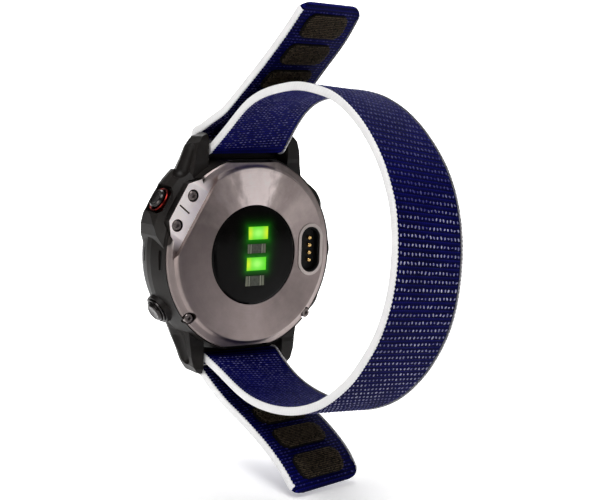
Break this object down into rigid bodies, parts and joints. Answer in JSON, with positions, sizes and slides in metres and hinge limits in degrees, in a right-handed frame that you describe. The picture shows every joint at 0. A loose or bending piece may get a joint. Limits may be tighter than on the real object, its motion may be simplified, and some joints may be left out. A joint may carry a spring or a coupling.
{
  "type": "wrist tracker with fabric band",
  "caption": "Round wrist-worn tracker seen from its sensor side, with side buttons, a charging socket and a navy woven hook-and-loop band with white edges.",
  "frame": {"origin": "centre of the raised disc of the rear cover, where the case meets the wrist", "axes": "+Z towards the top of the dial, +X across the band, +Y from the wrist towards the display glass"},
  "size_m": [0.0513, 0.08, 0.1085],
  "materials": {
    "housing_black": "satin",
    "bezel_dark": "satin",
    "steel": "brushed",
    "front_glass": "polished",
    "dial_black": "matt",
    "display": "gloss",
    "window_black": "gloss",
    "led_green": "gloss",
    "eye_dark": "gloss",
    "gold": "plated",
    "red_metal": "anodised",
    "button_metal": "satin",
    "seal_rubber": "matt",
    "board_green": "matt",
    "can_steel": "tinned",
    "battery_wrap": "satin",
    "flex_amber": "gloss",
    "navy_weave": "woven",
    "white_binding": "woven",
    "hook_pad": "hook tape"
  },
  "bodies": {
    "case": {"mid_case": "housing_black", "vent_covers": "dial_black", "bezel_ring": "bezel_dark", "bezel_gasket": "seal_rubber", "display_glass": "front_glass", "chapter_ring": "dial_black", "display_panel": "display", "antenna_ring": "can_steel", "inner_frame": "dial_black", "battery": "battery_wrap", "main_board": "board_green", "shield_cans": "can_steel", "vibration_motor": "can_steel", "beeper_disc": "gold", "sensor_board": "board_green", "sensor_flex": "flex_amber", "tact_switches": "can_steel", "caseback": "steel", "caseback_gasket": "seal_rubber", "caseback_screws": "steel", "sensor_window": "window_black", "sensor_leds": "led_green", "sensor_photodiodes": "eye_dark", "port_ring": "steel", "port_housing": "dial_black", "contact_pins": "gold", "start_ring": "red_metal", "button_rings": "button_metal", "button_bushings": "steel", "button_seals": "seal_rubber", "lug_bars": "steel", "band_loop": "navy_weave", "band_edging": "white_binding"},
    "start_button_body": {"start_button": "button_metal", "start_button_clip": "steel"},
    "back_button_body": {"back_button": "button_metal", "back_button_clip": "steel"},
    "light_button_body": {"light_button": "button_metal", "light_button_clip": "steel"},
    "up_button_body": {"up_button": "button_metal", "up_button_clip": "steel"},
    "down_button_body": {"down_button": "button_metal", "down_button_clip": "steel"},
    "tab_top_body": {"tab_top": "navy_weave", "tab_top_edging": "white_binding", "tab_top_hooks": "hook_pad"},
    "tab_bottom_body": {"tab_bottom": "navy_weave", "tab_bottom_edging": "white_binding", "tab_bottom_hooks": "hook_pad"}
  },
  "joints": [
    {"name": "start_press", "type": "slide", "parent": "case", "child": "start_button_body", "axis": [0.8572, 0, -0.515], "range_m": [0, 0.0008], "stiffness_N_per_m": 2500, "springref_m": -0.0004},
    {"name": "back_press", "type": "slide", "parent": "case", "child": "back_button_body", "axis": [0.8572, 0, 0.515], "range_m": [0, 0.0008], "stiffness_N_per_m": 2500, "springref_m": -0.0004},
    {"name": "light_press", "type": "slide", "parent": "case", "child": "light_button_body", "axis": [-0.8572, 0, -0.515], "range_m": [0, 0.0008], "stiffness_N_per_m": 2500, "springref_m": -0.0004},
    {"name": "up_press", "type": "slide", "parent": "case", "child": "up_button_body", "axis": [-1, 0, 0], "range_m": [0, 0.0008], "stiffness_N_per_m": 2500, "springref_m": -0.0004},
    {"name": "down_press", "type": "slide", "parent": "case", "child": "down_button_body", "axis": [-0.8572, 0, 0.515], "range_m": [0, 0.0008], "stiffness_N_per_m": 2500, "springref_m": -0.0004},
    {"name": "tab_top_peel", "type": "hinge", "parent": "case", "child": "tab_top_body", "pos_m": [0, 0.0055, 0.0265], "axis": [-1, 0, 0], "range_deg": [-3, 38]},
    {"name": "tab_bottom_peel", "type": "hinge", "parent": "case", "child": "tab_bottom_body", "pos_m": [0, 0.0055, -0.0265], "axis": [1, 0, 0], "range_deg": [-3, 90]}
  ]
}
